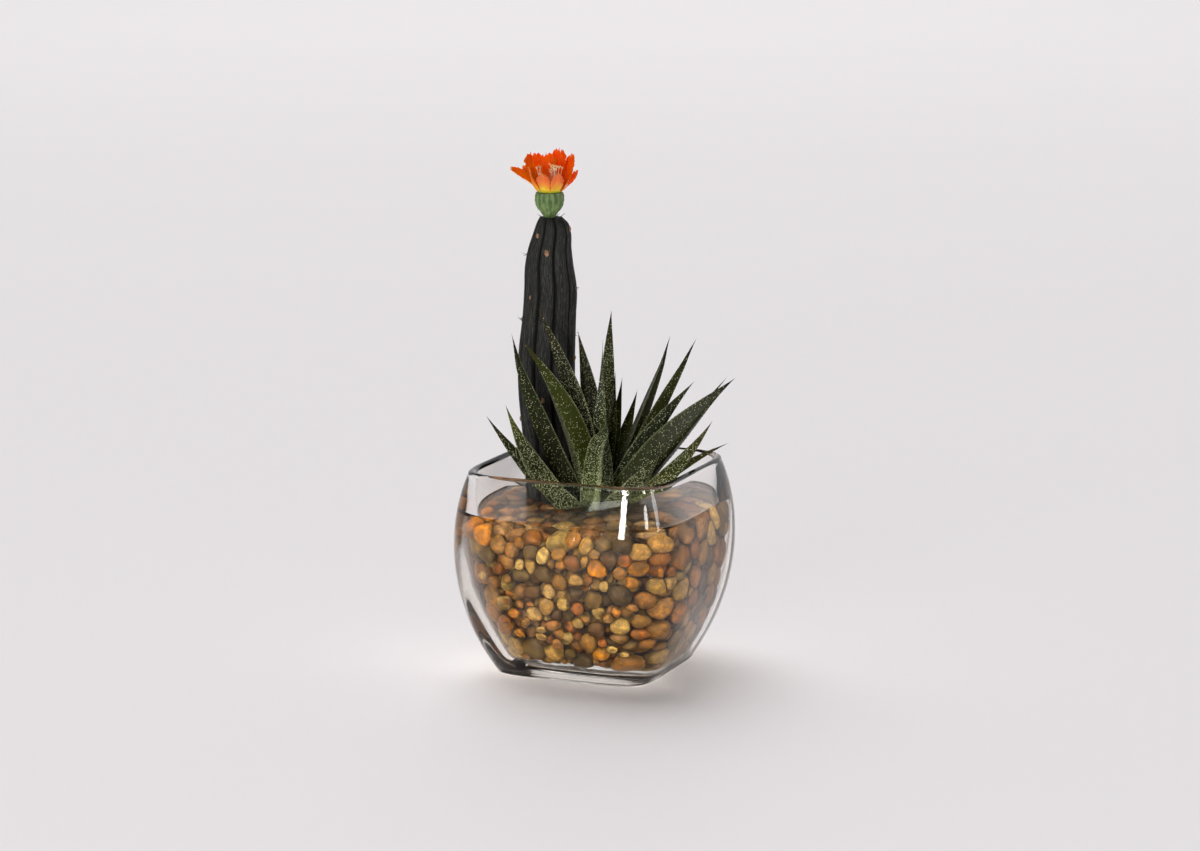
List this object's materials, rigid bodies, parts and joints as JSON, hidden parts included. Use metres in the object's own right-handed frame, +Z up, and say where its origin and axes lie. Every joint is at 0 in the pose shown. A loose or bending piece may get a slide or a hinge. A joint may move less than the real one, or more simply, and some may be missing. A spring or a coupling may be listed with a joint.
{
  "type": "planted glass vase",
  "caption": "Square bulging clear glass vase of water and river pebbles, planted with a flowering ribbed column cactus and a spiky rosette succulent.",
  "frame": {"origin": "centre of the vase's base, where it stands on the table", "axes": "+Z up; the vase's flat faces look along X and Y; the cactus stands towards -X"},
  "size_m": [0.1379, 0.1298, 0.271],
  "materials": {
    "clear_glass": "polished",
    "clear_water": "clear liquid",
    "river_pebbles": "wet, tumbled smooth",
    "cactus_skin": "dull skin",
    "receptacle_green": "ridged skin",
    "orange_petal": "matte",
    "cream_stamen": "matte",
    "crown_stem": "matte",
    "speckled_leaf": "satin skin with pale speckles"
  },
  "bodies": {
    "root": {"glass_vase": "clear_glass", "water": "clear_water", "pebble_bed": "river_pebbles", "cactus_column": "cactus_skin", "flower_receptacle": "receptacle_green", "flower_petals": "orange_petal", "flower_stamens": "cream_stamen", "rosette_crown": "crown_stem", "leaf_front_left_low": "speckled_leaf", "leaf_front_left": "speckled_leaf", "leaf_left_tall": "speckled_leaf", "leaf_left_olive": "speckled_leaf", "leaf_left_inner": "speckled_leaf", "leaf_back_left_inner": "speckled_leaf", "leaf_centre_tall": "speckled_leaf", "leaf_front_centre": "speckled_leaf", "leaf_back_centre": "speckled_leaf", "leaf_back_small": "speckled_leaf", "leaf_back_right_small": "speckled_leaf", "leaf_back_right_tall": "speckled_leaf", "leaf_right_tall": "speckled_leaf", "leaf_right_wide": "speckled_leaf", "leaf_right_behind": "speckled_leaf", "leaf_right_long": "speckled_leaf", "leaf_right_low": "speckled_leaf", "leaf_right_thin": "speckled_leaf", "leaf_front_right": "speckled_leaf", "leaf_back_left": "speckled_leaf", "leaf_back": "speckled_leaf", "leaf_back_right": "speckled_leaf", "leaf_back_low": "speckled_leaf"}
  },
  "joints": []
}
